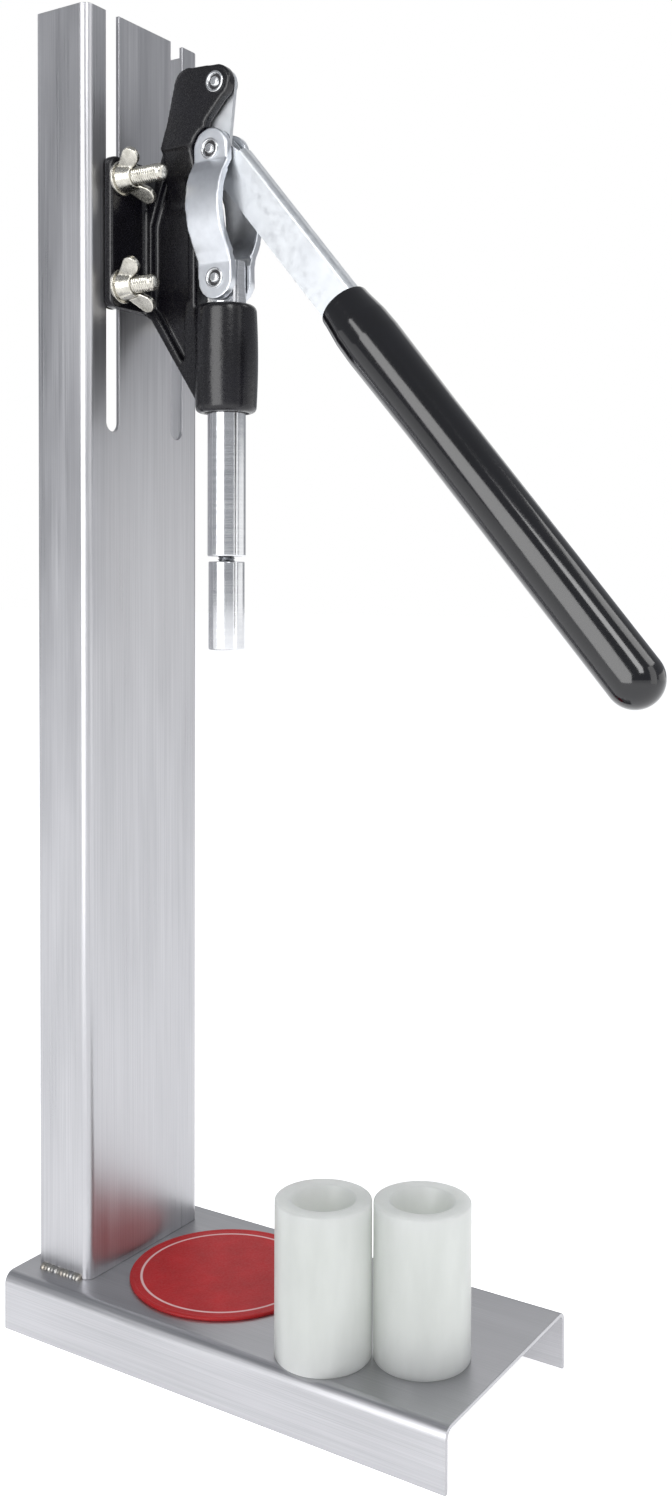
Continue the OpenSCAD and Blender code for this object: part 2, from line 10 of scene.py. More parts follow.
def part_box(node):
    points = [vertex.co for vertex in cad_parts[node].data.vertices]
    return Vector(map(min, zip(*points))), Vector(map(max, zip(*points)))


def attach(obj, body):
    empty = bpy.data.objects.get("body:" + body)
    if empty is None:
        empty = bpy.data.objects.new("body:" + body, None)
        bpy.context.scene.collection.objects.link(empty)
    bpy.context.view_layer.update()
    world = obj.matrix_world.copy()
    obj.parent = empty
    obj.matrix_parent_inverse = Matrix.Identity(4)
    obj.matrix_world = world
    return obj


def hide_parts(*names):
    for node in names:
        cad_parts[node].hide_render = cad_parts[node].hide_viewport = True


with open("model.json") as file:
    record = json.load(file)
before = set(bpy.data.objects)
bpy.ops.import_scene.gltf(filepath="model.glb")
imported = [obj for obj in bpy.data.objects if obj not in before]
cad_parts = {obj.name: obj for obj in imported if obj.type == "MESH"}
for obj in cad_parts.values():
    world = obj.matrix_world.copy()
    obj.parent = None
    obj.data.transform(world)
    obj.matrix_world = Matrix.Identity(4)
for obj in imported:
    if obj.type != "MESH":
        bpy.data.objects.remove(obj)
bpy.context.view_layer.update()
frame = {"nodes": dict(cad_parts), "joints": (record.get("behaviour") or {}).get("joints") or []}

MM = 0.001
X, Y, Z = Vector((1, 0, 0)), Vector((0, 1, 0)), Vector((0, 0, 1))
EVEN = (1, 1, 1)
BOLT_PLACES = ("upper_left", "upper_right", "lower_left", "lower_right")
pivot = {joint["name"]: Vector(joint["pos_m"]) for joint in frame["joints"] if "pos_m" in joint}


def middle(node):
    low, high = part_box(node)
    return (low + high) / 2


press = middle("plunger_rod").to_2d().to_3d()
base_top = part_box("base_channel")[1].z
column_low, column_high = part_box("column_channel")


# ---- camera and light ----

def add_camera():
    """Stands in front of the press on its left, at the height of a bottle's neck."""
    eye = press + Vector((-559.6, -421.0, 359.7)) * MM
    yaw, pitch, roll = (math.radians(a) for a in (57.29, 1.667, 0.185))
    ahead = Vector((math.cos(pitch) * math.sin(yaw), math.cos(pitch) * math.cos(yaw), -math.sin(pitch)))
    level = Vector((math.cos(yaw), -math.sin(yaw), 0))
    right = Matrix.Rotation(-roll, 3, ahead) @ level
    up = right.cross(ahead)
    data = bpy.data.cameras.new("view")
    data.lens, data.sensor_width, data.sensor_fit = 35.42, 36, "AUTO"
    data.shift_y = -0.0847
    data.clip_start, data.clip_end = 0.01, 50
    camera = bpy.data.objects.new("view", data)
    camera.matrix_world = Matrix((right, up, -ahead)).transposed().to_4x4()
    camera.location = eye
    bpy.context.scene.collection.objects.link(camera)
    bpy.context.scene.camera = camera


def add_light(name, spot, aim, size, power, seen=True):
    """A soft white rectangular light of size (width, height) that faces the point it is aimed at."""
    data = bpy.data.lights.new(name, "AREA")
    data.shape, data.size, data.size_y = "RECTANGLE", size[0], size[1]
    data.energy = power
    light = bpy.data.objects.new(name, data)
    light.location = spot
    light.rotation_euler = (Vector(aim) - Vector(spot)).to_track_quat("-Z", "Y").to_euler()
    light.visible_glossy = seen
    bpy.context.scene.collection.objects.link(light)


def add_card(name, spot, aim, size, code, glow):
    """A card that only reflections see. It gives bright metal something dark or pale to mirror."""
    bm = bmesh.new()
    bmesh.ops.create_grid(bm, x_segments=1, y_segments=1, size=0.5)
    bmesh.ops.scale(bm, vec=(size[0], size[1], 1), verts=bm.verts)
    turn = (Vector(aim) - Vector(spot)).to_track_quat("Z", "Y").to_matrix().to_4x4()
    bmesh.ops.transform(bm, matrix=Matrix.Translation(spot) @ turn, verts=bm.verts)
    card = new_object(name, bm, glowing_card(name + "_paper", code, glow))
    for ray in ("camera", "shadow", "diffuse", "transmission", "volume_scatter"):
        setattr(card, "visible_" + ray, False)


# ---- materials ----

def srgb(code):
    """A hex sRGB colour as linear RGBA."""
    values = [int(code[i:i + 2], 16) / 255 for i in (0, 2, 4)]
    return tuple(v / 12.92 if v <= 0.04045 else ((v + 0.055) / 1.055) ** 2.4 for v in values) + (1,)


def add(tree, kind, inputs=(), out=0, stops=(), **settings):
    """Adds a node with its settings, colour stops and inputs, set or linked. Returns one output."""
    made = tree.nodes.new("ShaderNode" + kind)
    for name, value in settings.items():
        setattr(made, name, value)
    for name, value in dict(inputs).items():
        if isinstance(value, bpy.types.NodeSocket):
            tree.links.new(value, made.inputs[name])
        else:
            made.inputs[name].default_value = value
    for i, (position, code) in enumerate(stops):
        elements = made.color_ramp.elements
        element = elements[i] if i < len(elements) else elements.new(position)
        element.position, element.color = position, srgb(code)
    return made.outputs[out]


def blank(name, constants):
    """A Principled material with its constant inputs set."""
    material = bpy.data.materials.new(name)
    material.use_nodes = True
    shader = material.node_tree.nodes["Principled BSDF"]
    for key, value in constants.items():
        shader.inputs[key].default_value = value
    return material


def surface(name, constants, grains, tint, shine, relief):
    """A material whose colour, roughness and relief follow its grains.

    grains: a name for each noise, with its patch width in mm, its stretch along X, Y, Z and its detail.
    tint: (grain, colour stops), multiplied together.
    shine: (grain, lowest roughness, highest roughness), added up.
    relief: (grain, depth in mm), the topmost last.
    """
    material = blank(name, constants)
    tree = material.node_tree
    here = add(tree, "TexCoord", out="Object")
    value = {}
    for key, (width, stretch, detail) in grains.items():
        placed = add(tree, "Mapping", {"Vector": here, "Scale": [1 / times for times in stretch]})
        inputs = {"Vector": placed, "Scale": 1 / (width * MM), "Detail": detail}
        value[key] = add(tree, "TexNoise", inputs, "Fac")
    colour, roughness, normal = None, None, None
    for key, stops in tint:
        layer = add(tree, "ValToRGB", {"Fac": value[key]}, stops=stops)
        if colour is not None:
            layer = add(tree, "Mix", {0: 1.0, 6: colour, 7: layer}, 2, data_type="RGBA",
                        blend_type="MULTIPLY")
        colour = layer
    for key, low, high in shine:
        layer = add(tree, "MapRange", {"Value": value[key], "From Min": 0.3, "From Max": 0.7,
                                       "To Min": low, "To Max": high})
        if roughness is not None:
            layer = add(tree, "Math", {0: roughness, 1: layer}, operation="ADD")
        roughness = layer
    for key, depth in relief:
        inputs = {"Height": value[key], "Distance": depth * MM, "Strength": 1.0}
        if normal is not None:
            inputs["Normal"] = normal
        normal = add(tree, "Bump", inputs)
    shader = tree.nodes["Principled BSDF"]
    for key, output in (("Base Color", colour), ("Roughness", roughness), ("Normal", normal)):
        tree.links.new(output, shader.inputs[key])
    return material


def two_tone(dark, pale):
    """Colour stops that put dark on a grain's hollows and pale on its crests."""
    return [(0.3, dark), (0.7, pale)]


def brushed_stainless(name, dark, pale, along, rough):
    """304 sheet with a satin belt finish: fine lines along the sheet, and broad soft smears.

    Belt lines lie about 0.1 mm apart. They are drawn at 0.45 mm, so that they show.
    """
    line = [160 if axis == along else 1 for axis in "XYZ"]
    smear = [6 if axis == along else 1 for axis in "XYZ"]
    return surface(name, {"Metallic": 1.0},
                   {"lines": (0.45, line, 2), "smears": (18, smear, 2), "pits": (1.2, EVEN, 4)},
                   [("smears", two_tone(dark, pale)), ("lines", two_tone("ececed", "ffffff"))],
                   [("lines", rough - 0.05, rough + 0.05), ("smears", -0.04, 0.05)],
                   [("pits", 0.004), ("lines", 0.006)])


def wire_brushed_weld():
    """Stainless weld bead, wire-brushed: dull silver with a faint straw and blue heat tint."""
    heat_tint = [(0.32, "8b8d93"), (0.5, "a9a7a2"), (0.68, "9b948a")]
    return surface("weld_bead_stainless", {"Metallic": 1.0},
                   {"heat": (7, EVEN, 2), "scale": (0.8, EVEN, 5)},
                   [("heat", heat_tint)],
                   [("scale", 0.3, 0.55)],
                   [("scale", 0.08)])


def stove_enamel():
    """Black stove enamel on a sand casting: satin, over the skin that the mould leaves."""
    return surface("stove_enamel_black", {"IOR": 1.45, "Coat Weight": 0.12, "Coat Roughness": 0.2},
                   {"skin": (2.2, EVEN, 5), "sand": (0.6, EVEN, 3), "cloud": (16, EVEN, 2)},
                   [("cloud", two_tone("0a090e", "111017"))],
                   [("sand", 0.2, 0.32)],
                   [("sand", 0.02), ("skin", 0.09)])


def plated(name, dark, pale, rough, size_mm=2.0, dent_mm=0.03):
    """Plate or film on a rough steel part: the tint wanders and the low spots are duller."""
    return surface(name, {"Metallic": 1.0},
                   {"patch": (size_mm * 2, EVEN, 3), "fine": (size_mm * 0.4, EVEN, 4)},
                   [("patch", two_tone(dark, pale))],
                   [("fine", rough - 0.06, rough + 0.08)],
                   [("fine", dent_mm)])


def turned(name, dark, pale, rough, line_mm, along="Z"):
    """Metal ground or turned on a lathe: fine rings square to its axis, drawn coarse enough to show."""
    ring = [1 if axis == along else 300 for axis in "XYZ"]
    return surface(name, {"Metallic": 1.0},
                   {"rings": (line_mm, ring, 2), "haze": (9, EVEN, 2)},
                   [("rings", two_tone(dark, pale))],
                   [("rings", rough * 0.8, rough * 1.2), ("haze", 0, 0.03)],
                   [("rings", 0.002)])


def tumbled_aluminium():
    """Bent aluminium bar, tumbled smooth: pale and satin, with a few shallow knocks."""
    return surface("tumbled_aluminium", {"Metallic": 1.0},
                   {"knocks": (5.0, EVEN, 3), "satin": (0.5, EVEN, 3)},
                   [("knocks", two_tone("cdd0d5", "d8dbe0"))],
                   [("satin", 0.3, 0.38)],
                   [("satin", 0.004), ("knocks", 0.02)])


def dipped_vinyl():
    """Black PVC dipped over the tang: wet gloss with the slow ripple of the dip."""
    return surface("dipped_vinyl_black", {"IOR": 1.53, "Coat Weight": 0.25, "Coat Roughness": 0.08},
                   {"sag": (14, EVEN, 1), "skin": (1.0, EVEN, 3)},
                   [("sag", two_tone("05050a", "08080f"))],
                   [("skin", 0.1, 0.17)],
                   [("skin", 0.001), ("sag", 0.04)])


def printed_vinyl(centre, ring_r, ring_w):
    """Red vinyl mat with a fine leather grain and one thin ring printed in pale ink."""
    material = surface("printed_vinyl_red", {"IOR": 1.5, "Specular IOR Level": 0.4},
                       {"leather": (0.9, EVEN, 4), "wear": (12, EVEN, 3)},
                       [("wear", two_tone("b81016", "c8181e"))],
                       [("leather", 0.38, 0.55)],
                       [("leather", 0.05)])
    tree = material.node_tree
    colour = tree.nodes["Principled BSDF"].inputs["Base Color"]
    red = colour.links[0].from_socket
    here = add(tree, "TexCoord", out="Object")
    offset = add(tree, "VectorMath", {0: here, 1: centre}, operation="SUBTRACT")
    flat = add(tree, "VectorMath", {0: offset, 1: (1, 1, 0)}, operation="MULTIPLY")
    radius = add(tree, "VectorMath", {0: flat}, "Value", operation="LENGTH")
    away = add(tree, "Math", {0: radius, 1: ring_r}, operation="SUBTRACT")
    near = add(tree, "Math", {0: away}, operation="ABSOLUTE")
    ink = add(tree, "MapRange", {"Value": near, "From Min": ring_w * 0.35, "From Max": ring_w * 0.65,
                                 "To Min": 1.0, "To Max": 0.0})
    inked = add(tree, "Mix", {0: ink, 6: red, 7: srgb("f3c9c9")}, 2, data_type="RGBA")
    tree.links.new(inked, colour)
    return material


def milky_polythene_painted_glow():
    """Turned polythene: light soaks in and scatters, so edges glow and the bore shows grey. A faint, even
    painted glow (emission) adds to that soaked-in light and lifts the shaded bore.
    """
    return surface("milky_polythene_painted_glow",
                   {"IOR": 1.5, "Subsurface Weight": 0.9, "Subsurface Radius": (1.0, 1.0, 0.97),
                    "Subsurface Scale": 0.025, "Transmission Weight": 0.1,
                    # Painted glow: this emission stands in for light soaked into the plastic.
                    "Emission Color": srgb("f4f6f3"), "Emission Strength": 0.06},
                   {"cut": (0.7, (60, 60, 1), 2), "cloud": (11, (1, 1, 4), 3)},
                   [("cloud", two_tone("d1d4d0", "dcdfdb"))],
                   [("cut", 0.34, 0.44)],
                   [("cut", 0.01)])


def floor_paper(name, code, glow):
    """Matt white paper that shines a little by itself, so that it stays white."""
    return blank(name, {"Base Color": srgb(code), "Roughness": 0.9, "Emission Color": srgb(code),
                        "Emission Strength": glow})


def glowing_card(name, code, glow):
    """A card's paper, which only shines."""
    return blank(name, {"Base Color": srgb("000000"), "Specular IOR Level": 0.0,
                        "Emission Color": srgb(code), "Emission Strength": glow})


# ---- shapes ----

def new_object(name, bm, finish, sharp=35, even=False):
    """A piece from a mesh. Edges past sharp degrees stay crisp, and even keeps flat faces flat."""
    mesh = bpy.data.meshes.new(name)
    bm.to_mesh(mesh)
    bm.free()
    mesh.materials.append(finish)
    mesh.shade_smooth()
    mesh.set_sharp_from_angle(angle=math.radians(sharp))
    made = bpy.data.objects.new(name, mesh)
    bpy.context.scene.collection.objects.link(made)
    if even:
        made.modifiers.new("flat faces", "WEIGHTED_NORMAL").keep_sharp = True
    return made


def fit(made, body, slot, *nodes):
    """Hands a finished piece to its body and hides the CAD nodes that it stands for. The slot is not used.
    """
    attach(made, body)
    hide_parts(*nodes)


def rounded(corners):
    """Points of an open outline of (x, y, radius) corners, each turned with its own radius."""
    steps = 5
    points = []
    for i, (x, y, radius) in enumerate(corners):
        here = Vector((x, y))
        if radius == 0:
            points.append(here)
            continue
        back = (Vector(corners[i - 1][:2]) - here).normalized()
        ahead = (Vector(corners[i + 1][:2]) - here).normalized()
        half = back.angle(ahead) / 2
        centre = here + (back + ahead).normalized() * radius / math.sin(half)
        start = here + back * radius / math.tan(half) - centre
        sweep = start.angle_signed(here + ahead * radius / math.tan(half) - centre)
        for step in range(steps + 1):
            points.append(centre + Matrix.Rotation(-sweep * step / steps, 2) @ start)
    return points


def lathe(corners, foot, axis=Z, turns=72):
    """Spins an outline of (radius, height, rounding) corners in mm about an axis through foot."""
    bm = bmesh.new()
    verts = [bm.verts.new((p.x * MM, 0, p.y * MM)) for p in rounded(corners)]
    for first, second in zip(verts, verts[1:]):
        bm.edges.new((first, second))
    bmesh.ops.spin(bm, geom=bm.verts[:] + bm.edges[:], cent=(0, 0, 0), axis=(0, 0, 1), dvec=(0, 0, 0),
                   angle=math.tau, steps=turns, use_merge=True, use_duplicate=False)
    bmesh.ops.remove_doubles(bm, verts=bm.verts, dist=1e-6)
    bmesh.ops.recalc_face_normals(bm, faces=bm.faces)
    stand_on(bm, foot, axis)
    return bm


def stand_on(bm, foot, axis=Z):
    """Stands what was built about Z on foot, with its Z along axis."""
    turn = Z.rotation_difference(axis).to_matrix().to_4x4()
    bmesh.ops.transform(bm, matrix=Matrix.Translation(foot) @ turn, verts=bm.verts)


def gather(*parts):
    """Several meshes as one."""
    whole = bmesh.new()
    for part in parts:
        mesh = bpy.data.meshes.new("part")
        part.to_mesh(mesh)
        part.free()
        whole.from_mesh(mesh)
        bpy.data.meshes.remove(mesh)
    return whole


def from_cad(node):
    """A merged copy of a CAD node, with flat faces joined up again."""
    bm = bmesh.new()
    bm.from_mesh(frame["nodes"][node].data)
    bmesh.ops.remove_doubles(bm, verts=bm.verts, dist=1e-6)
    bmesh.ops.dissolve_limit(bm, angle_limit=math.radians(0.5), verts=bm.verts, edges=bm.edges)
    return bm


def ease_edges(bm, width, segments=2, angle=40):
    """Breaks the edges that turn by more than angle, as deburring does."""
    sharp = [e for e in bm.edges if e.is_manifold and e.calc_face_angle() > math.radians(angle)]
    bmesh.ops.bevel(bm, geom=sharp, offset=width * MM, offset_type="OFFSET", segments=segments,
                    profile=0.5, affect="EDGES", clamp_overlap=True, material=-1)
    return bm


def cast(name, bm, voxel_mm, passes, finish):
    """Fuses overlapping solids into one skin and softens every edge and corner of it."""
    rough = new_object(name, bm, finish)
    remesh = rough.modifiers.new("fuse", "REMESH")
    remesh.mode, remesh.voxel_size, remesh.use_smooth_shade = "VOXEL", voxel_mm * MM, True
    smooth = rough.modifiers.new("soften", "SMOOTH")
    smooth.factor, smooth.iterations = 0.5, passes
    bpy.context.view_layer.update()
    mesh = bpy.data.meshes.new_from_object(rough.evaluated_get(bpy.context.evaluated_depsgraph_get()))
    bpy.data.objects.remove(rough)
    mesh.shade_smooth()
    mesh.materials.clear()
    mesh.materials.append(finish)
    made = bpy.data.objects.new(name, mesh)
    bpy.context.scene.collection.objects.link(made)
    return made


# ---- finishes ----

# The column's lines run up it, and the base's run along it.
column_steel = brushed_stainless("brushed_stainless_column", "b8b8bb", "c4c4c7", "Z", 0.34)
base_steel = brushed_stainless("brushed_stainless_base", "b7b7ba", "c3c3c6", "Y", 0.36)
weld_steel = wire_brushed_weld()
enamel = stove_enamel()
# Zinc on forged nuts and bolts: warm and patchy. On smooth sheet it is pale and even.
zinc = plated("zinc_plate_warm", "b4b1a8", "d7d4cb", 0.24)
bright_zinc = plated("zinc_plate_bright", "cfd2d6", "dadde0", 0.4, size_mm=9, dent_mm=0.004)
# Bar steel, turned bright.
turned_pin = turned("turned_steel_bright", "cfd0d2", "e8e9ea", 0.16, 0.2, along="X")
# Painted shade for the ring grooves at the pin ends: dark, with a dull shine.
groove_shade = plated("painted_groove_shade", "38383a", "4a494a", 0.5)
# Oil-blackened spring steel: nearly black, satin.
spring_steel = plated("blackened_spring_steel", "2b2b2e", "3c3b3d", 0.4)
aluminium = tumbled_aluminium()
vinyl = dipped_vinyl()
# Hard chrome over ground bar: the brightest metal here.
chrome = turned("hard_chrome_ground", "d6d7da", "e2e3e5", 0.17, 0.35)
# Bare steel with oil in its thread: a darker grey.
thread_steel = plated("plain_steel_thread", "8f9195", "b0b2b5", 0.3, size_mm=1)
polythene = milky_polythene_painted_glow()


# ---- stand ----

def base_sheet():
    bm = ease_edges(from_cad("base_channel"), 0.35, segments=3)
    fit(new_object("base_sheet", bm, base_steel, 50, True), "stand", "base", "base_channel")


def column_sheet():
    bm = ease_edges(from_cad("column_channel"), 0.3, segments=3)
    fit(new_object("column_sheet", bm, column_steel, 50, True), "stand", "column", "column_channel")


def weld_beads():
    """Overlapping puddles laid along the feet of both column flanges."""
    step = 2.0 * MM
    low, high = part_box("column_welds")
    leg = (high.z - low.z) / MM
    parts = []
    for side in (-1, 1):
        edge = side * column_high.x
        along = low.y + leg * 0.5 * MM
        while along < high.y - leg * 0.3 * MM:
            bm = bmesh.new()
            bmesh.ops.create_uvsphere(bm, u_segments=14, v_segments=8, radius=1)
            wobble = noise.noise(Vector((side * 3, along / MM * 0.37, 0)))
            size = leg * (0.82 + 0.2 * wobble)
            bmesh.ops.scale(bm, vec=(size * MM, leg * 0.62 * MM, size * MM * 0.92), verts=bm.verts)
            bmesh.ops.translate(bm, vec=(edge, along, base_top), verts=bm.verts)
            parts.append(bm)
            along += step
    beads = cast("foot_welds", gather(*parts), 0.35, 2, weld_steel)
    fit(beads, "stand", "welds", "column_welds")


def mat():
    """A round mat with a low rim, and a ring printed inside it."""
    rim_w, sunk = 1.6, 0.15
    low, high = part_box("bottle_mat")
    r, t = (high.x - low.x) / 2 / MM, (high.z - low.z) / MM
    outline = [(0, 0, 0), (r, 0, 0.3), (r, t, 0.6), (r - rim_w, t, 0.5), (r - rim_w - 0.6, t - sunk, 0.5),
               (0, t - sunk, 0)]
    bm = lathe(outline, Vector((*press.xy, low.z)), turns=128)
    red = printed_vinyl((*press.xy, high.z), (r - 5.6) * MM, 1.1 * MM)
    fit(new_object("mat_printed", bm, red, 50), "stand", "mat", "bottle_mat")


# ---- head ----

def wedge(first, second, section, size=1):
    """A three-sided bar from first to second, with its section's corners at size times these offsets."""
    bm = bmesh.new()
    ring = []
    for end in (first, second):
        ring.append([bm.verts.new(end + offset * size * MM) for offset in section])
    bm.faces.new(ring[0])
    bm.faces.new(reversed(ring[1]))
    for i in range(3):
        j = (i + 1) % 3
        bm.faces.new((ring[0][i], ring[1][i], ring[1][j], ring[0][j]))
    bmesh.ops.recalc_face_normals(bm, faces=bm.faces)
    return bm


def root_fillets():
    """The fillets that a moulder leaves where the rib meets the clamp plate, one on each side."""
    rib_half, plate_t, size = 7, 5, 2.2
    plate_front = column_low.y - plate_t * MM
    low = pivot["nut_spin_lower_left"].z - 8 * MM
    high = pivot["nut_spin_upper_left"].z + 2 * MM
    made = []
    for side in (-1, 1):
        corner = (-0.4 * side * X + 0.4 * Y, side * X + 0.4 * Y, -0.4 * side * X - Y)
        x = side * rib_half * MM
        made.append(wedge(Vector((x, plate_front, low)), Vector((x, plate_front, high)), corner, size))
    return made


def cheek_slope():
    """The long slope that carries the foot of the cheek over into the rib."""
    under, front, back = 26.5, 14.8, 32.5
    step_in, reach, overlap = 7, 28, 2
    top = pivot["lever_swing"]
    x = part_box("top_pivot_pin")[0].x + 0.9 * MM
    z = top.z - under * MM
    section = (overlap * Z, (step_in - 0.4) * X - reach * Z, step_in * X + overlap * Z)
    return wedge(Vector((x, top.y + front * MM, z)), Vector((x, top.y + back * MM, z)), section)


def swell_collar(head):
    """Draws the collar in towards its ends, so that it bellies out like a small barrel."""
    height, arch, above = 51, 62, 6
    inner, outer, back = 11, 15.5, 6
    most = 0.075
    top = pivot["plunger_swing"].z - 11.5 * MM
    for vert in head.data.vertices:
        out = vert.co.xy - press.xy
        drop = (top - vert.co.z) / MM
        if 0 < drop < height and inner * MM < out.length < outer * MM and out.y < back * MM:
            belly = math.sin(math.pi * min(1, (drop + above) / arch))
            vert.co.xy = press.xy + out * (1 - most * (1 - belly))


def casting():
    parts = [from_cad("head_casting"), *root_fillets(), cheek_slope()]
    head = cast("head_cast", gather(*parts), 0.75, 6, enamel)
    swell_collar(head)
    fit(head, "head", "casting", "head_casting")


def threaded(length, tip, radius, start):
    """A shank about Z with a helical thread from start to its domed tip."""
    pitch, depth, row = 1.25, 0.55, 0.2
    ends = length - tip
    rows = [(radius, z * row, 0) for z in range(int(ends / row) + 1)]
    dome = [(radius - 0.4, ends + 0.5, 0), (radius * 0.72, length - 0.35, 0),
            (radius * 0.4, length - 0.06, 0), (0, length, 0)]
    bm = lathe([(0, 0, 0)] + rows + dome, Vector(), turns=32)
    for vert in bm.verts:
        z, r = vert.co.z / MM, vert.co.xy.length / MM
        if start < z <= ends and r > radius * 0.6:
            turn = math.atan2(vert.co.y, vert.co.x) / math.tau
            phase = (z / pitch + turn) % 1
            fade = min(1, (z - start) / pitch, (ends + 0.3 - z) / pitch)
            cut = depth * fade * (0.5 + 0.5 * math.cos(math.tau * phase))
            vert.co.xy *= (r - cut) / r
    return bm


def clamp_bolts():
    """Carriage bolts in pairs: domed heads inside the column, threads out past the wing nuts."""
    sheet_t, shank_r, square_neck = 2, 4, 9
    head = [(0, 4.5, 0), (5.5, 3.9, 4), (10, 0.9, 0.7), (10, 0, 0), (0, 0, 0)]
    for node in ("upper_bolts", "lower_bolts"):
        low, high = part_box(node)
        seat = column_low.y + sheet_t * MM
        parts = []
        for side in (-1, 1):
            here = Vector((side * pivot["nut_spin_upper_right"].x, seat, (low.z + high.z) / 2))
            parts.append(lathe(head, here, Y))
            shank = threaded((seat - low.y) / MM, 1.6, shank_r, square_neck)
            stand_on(shank, here, -Y)
            parts.append(shank)
        fit(new_object(node + "_threaded", gather(*parts), zinc, 50), "head", "fasteners", node)


def washers():
    bore_r, outer_r = 4.4, 8
    low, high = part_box("bolt_washers")
    t = (high.y - low.y) / MM
    ring = [(bore_r, 0, 0), (outer_r, 0, 0.35), (outer_r, t, 0.35), (bore_r, t, 0.2), (bore_r, 0, 0)]
    parts = []
    for key in BOLT_PLACES:
        at = pivot["nut_spin_" + key]
        parts.append(lathe(ring, Vector((at.x, low.y, at.z)), Y, 48))
    fit(new_object("washers_plated", gather(*parts), zinc, 50), "head", "fasteners", "bolt_washers")


def wing_nuts():
    """Cold-forged nuts: round hub, two thin wings with soft shoulders."""
    for key in BOLT_PLACES:
        node = "wing_nut_" + key
        nut = cast("wingnut_" + key, from_cad(node), 0.32, 5, zinc)
        fit(nut, "nut_" + key, "wing_nuts", node)


def pin_end(at, reach, side, radius):
    """The flared end of a pin: a bright lip, a groove that is darkened with painted shade, and a domed
    middle.
    """
    rim = radius + 0.9
    outline = [(0, -0.6, 0), (rim, -0.6, 0), (rim, 0.85, 0.4), (radius - 0.1, 0.9, 0.3),
               (radius - 0.7, -0.2, 0.2), (radius - 1.5, -0.2, 0.2), (radius - 2.0, 1.05, 0.6), (0, 1.2, 0)]
    return lathe(outline, Vector((side * reach * MM, at.y, at.z)), side * X, 48)


def shade_grooves(pin, at, reach, radius):
    """Painted shade in the ring groove at a pin's ends."""
    pin.data.materials.append(groove_shade)
    for face in pin.data.polygons:
        off = (face.center - at) / MM
        if abs(off.x) > reach - 0.4 and radius - 1.6 < off.yz.length < radius - 0.5:
            # The groove faces take the dark painted-shade material.
            face.material_index = 1
    return pin


def pins():
    """The two link pins are flared at both ends. The top pin is flared at one and clipped at the other."""
    radius, groove_r, flare, play = 4, 3, 0.8, 0.05
    top, mid, foot = (pivot[j] for j in ("lever_swing", "link_swing", "plunger_swing"))
    for node, at in (("middle_pin", mid), ("lower_pin", foot)):
        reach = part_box(node)[1].x / MM - flare
        shank = lathe([(0, 0, 0), (radius, 0, 0), (radius, 2 * reach, 0), (0, 2 * reach, 0)],
                      Vector((-reach * MM, at.y, at.z)), X, 48)
        bm = gather(shank, pin_end(at, reach, -1, radius), pin_end(at, reach, 1, radius))
        pin = shade_grooves(new_object(node + "_turned", bm, turned_pin, 50), at, reach, radius)
        fit(pin, "links", "pins", node)
    low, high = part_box("top_pivot_pin")
    head, end = -low.x / MM - flare, high.x / MM
    clip_low, clip_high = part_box("top_pin_clip")
    g0, g1 = clip_low.x / MM + head - play, clip_high.x / MM + head + play
    shank = lathe([(0, 0, 0), (radius, 0, 0), (radius, g0, 0), (groove_r, g0, 0), (groove_r, g1, 0),
                   (radius, g1, 0.2), (radius, head + end, 0.5), (0, head + end, 0)],
                  Vector((-head * MM, top.y, top.z)), X, 48)
    bm = gather(shank, pin_end(top, head, -1, radius))
    pin = shade_grooves(new_object("top_pin_turned", bm, turned_pin, 50), top, head, radius)
    fit(pin, "head", "pins", "top_pivot_pin")


def clip():
    bm = ease_edges(from_cad("top_pin_clip"), 0.15, angle=60)
    fit(new_object("retaining_clip", bm, spring_steel, 50), "head", "clip", "top_pin_clip")


# ---- toggle and lever ----

def links():
    for side in ("left", "right"):
        node = "link_" + side
        fit(cast("link_bowed_" + side, from_cad(node), 0.5, 5, aluminium), "links", "links", node)


def lever():
    bm = ease_edges(from_cad("lever_channel"), 0.3)
    fit(new_object("lever_folded", bm, bright_zinc, 50, True), "lever", "lever", "lever_channel")


def grip():
    """Dipped grip: a rolled mouth, a quick swell, a long slow taper and a round end."""
    length, tip_r, swell_end, swell_r = 212.7, 12.5, 70, 12.9
    drop = math.radians(49.5)
    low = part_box("lever_grip")[0]
    axis = Vector((0, -math.cos(drop), -math.sin(drop)))
    tip = Vector((0, low.y + tip_r * MM, low.z + tip_r * MM))
    mouth = tip - axis * length * MM
    lip = [(0, 5, 0), (9.9, 5, 0.4), (10.1, 0, 0.5), (11.9, 0, 1.0)]
    swell = [(12.2, 4, 6), (13.4, 14, 20), (13.7, 24, 30), (swell_r, swell_end, 0)]
    taper = [(swell_r - (swell_r - tip_r) * k / 8, swell_end + (length - swell_end) * k / 8, 0)
             for k in range(1, 9)]
    dome = [(tip_r * math.cos(a), length + tip_r * math.sin(a), 0)
            for a in (math.radians(5 * k) for k in range(1, 18))]
    bm = lathe(lip + swell + taper + dome + [(0, length + tip_r, 0)], mouth, axis, 96)
    fit(new_object("grip_dipped", bm, vinyl, 60), "lever", "grip", "lever_grip")


# ---- plunger ----

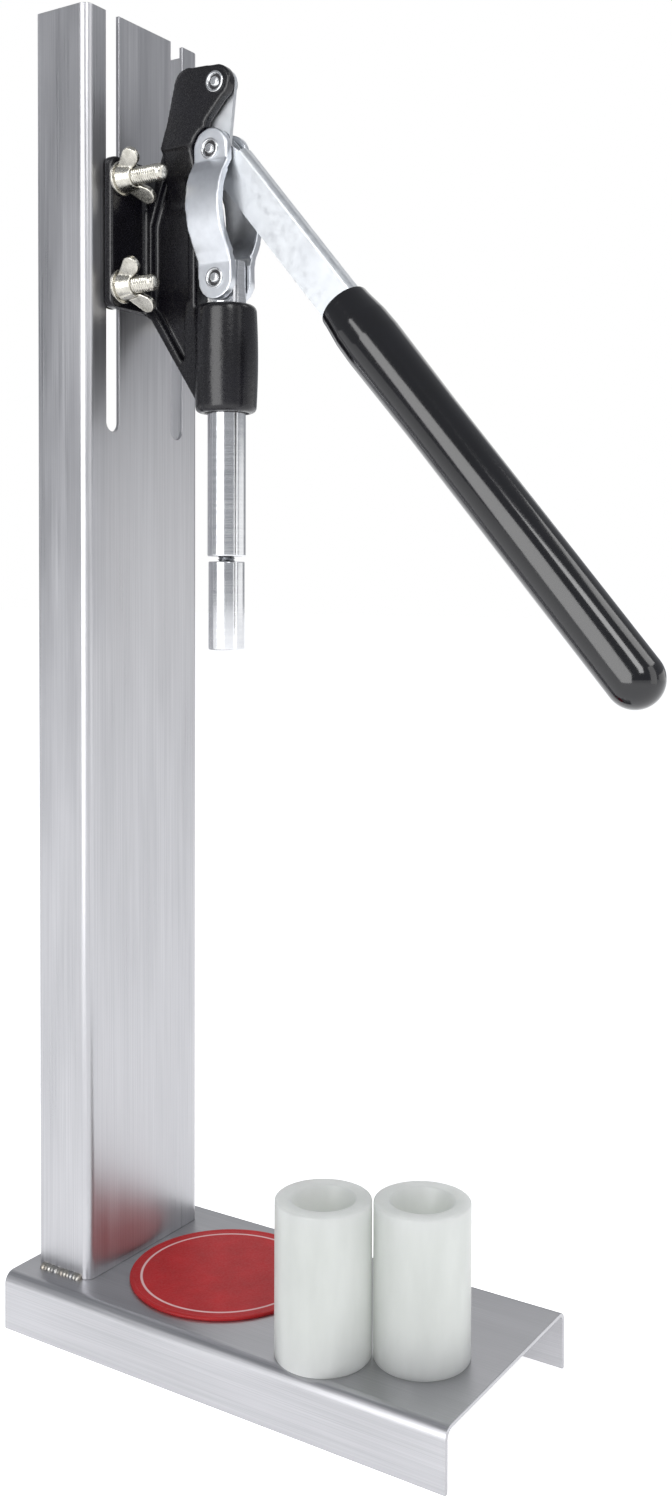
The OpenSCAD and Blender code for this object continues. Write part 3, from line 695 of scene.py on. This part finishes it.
def rod():
    """A ground shank with a blind hole for the stud, and the flat tongue that the links hold."""
    hole_r, hole_deep, tongue_below = 4.1, 13, 11.2
    low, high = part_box("plunger_rod")
    r, h = (high.x - low.x) / 2 / MM, (pivot["plunger_swing"].z - low.z) / MM - tongue_below
    tongue = from_cad("plunger_rod")
    bmesh.ops.bisect_plane(tongue, geom=tongue.verts[:] + tongue.edges[:] + tongue.faces[:],
                           plane_co=(0, 0, low.z + (h - 0.2) * MM), plane_no=Z, clear_inner=True)
    bmesh.ops.holes_fill(tongue, edges=[e for e in tongue.edges if e.is_boundary], sides=0)
    shank = lathe([(0, hole_deep, 0), (hole_r, hole_deep, 0), (hole_r, 0, 0.3), (r, 0, 0.8), (r, h, 0),
                   (0, h, 0)], Vector((*press.xy, low.z)), turns=96)
    bm = gather(shank, ease_edges(tongue, 0.3))
    fit(new_object("rod_ground", bm, chrome, 50, True), "plunger", "rod", "plunger_rod")


def stud():
    low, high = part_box("tip_stud")
    bm = threaded((high.z - low.z) / MM, 0.8, 4, 0.5)
    stand_on(bm, Vector((*press.xy, low.z)))
    fit(new_object("stud_threaded", bm, thread_steel, 50), "plunger", "stud", "tip_stud")


def tip():
    """The ground tip that pushes the cork, with a blind hole for the stud in its top."""
    hole_r, hole_deep = 4.2, 12
    low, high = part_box("push_tip")
    r, h = (high.x - low.x) / 2 / MM, (high.z - low.z) / MM
    bm = lathe([(0, 0, 0), (r, 0, 0.8), (r, h, 0.5), (hole_r, h, 0.2), (hole_r, h - hole_deep, 0),
                (0, h - hole_deep, 0)], Vector((*press.xy, low.z)), turns=96)
    fit(new_object("tip_ground", bm, chrome, 50), "plunger", "rod", "push_tip")


# ---- cork sleeves ----

def sleeves():
    """Turned sleeves: a funnel at the top, a bore that passes a cork, a socket for the lip."""
    bore, funnel, socket, socket_deep, throat = 9.25, 14, 15.25, 12, 14
    for key in "ab":
        node = "cork_sleeve_" + key
        low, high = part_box(node)
        r, h = (high.x - low.x) / 2 / MM, (high.z - low.z) / MM
        at = Vector(((low.x + high.x) / 2, (low.y + high.y) / 2, low.z))
        outline = [(bore, socket_deep, 0), (bore, h - throat, 4), (funnel, h, 0.8), (r, h, 1.1), (r, 0, 1.1),
                   (socket, 0, 0.6), (socket, socket_deep, 0.5), (bore, socket_deep, 0)]
        bm = lathe(outline, at, turns=96)
        fit(new_object("sleeve_turned_" + key, bm, polythene, 50), "sleeve_" + key, "sleeves", node)


# ---- the set ----

# Each card stands at an angle round the press, so far away and so high, with its size and its glow.
CARDS = (("left", 175, 1.6, 0.4, (1.15, 2.0), 4.5),
         ("front", 274, 1.6, 0.5, (0.7, 2.2), 1.8),
         ("right", 320, 1.7, 0.42, (1.5, 0.4), 1.2),
         ("above_right", 296, 1.5, 1.8, (1.0, 0.6), 3.2),
         ("behind", 30, 1.5, 1.3, (1.8, 0.9), 1.1))


def studio():
    """White floor, a sky that is white to the eye and grey to the metal, soft lights and cards."""
    bm = bmesh.new()
    bmesh.ops.create_grid(bm, x_segments=1, y_segments=1, size=12)
    new_object("floor", bm, floor_paper("white_paper", "ffffff", 0.68))
    world = bpy.data.worlds.new("pale")
    world.use_nodes = True
    tree = world.node_tree
    seen = add(tree, "LightPath", out="Is Camera Ray")
    sky = add(tree, "Mix", {0: seen, 6: srgb("a3a5a9"), 7: srgb("ffffff")}, 2, data_type="RGBA")
    tree.links.new(sky, tree.nodes["Background"].inputs["Color"])
    bpy.context.scene.world = world
    bpy.context.scene.view_settings.view_transform = "Standard"
    add_light("key", (-1.0, -1.2, 1.5), (0, 0, 0.35), (0.5, 0.9), 9)
    add_light("top", (0.2, 0.3, 2.0), (0, 0, 0.2), (1.0, 1.0), 10, seen=False)
    around = Vector((0, 0, 0.45))
    for name, angle, away, height, size, glow in CARDS:
        side = Vector((math.cos(math.radians(angle)), math.sin(math.radians(angle)), 0))
        add_card(name, side * away + height * Z, around, size, "ffffff", glow)


def build():
    add_camera()
    studio()
    for make in (base_sheet, column_sheet, weld_beads, mat, casting, washers, wing_nuts, pins, clip,
                 links, lever, grip, rod, stud, tip, sleeves, clamp_bolts):
        make()


build()
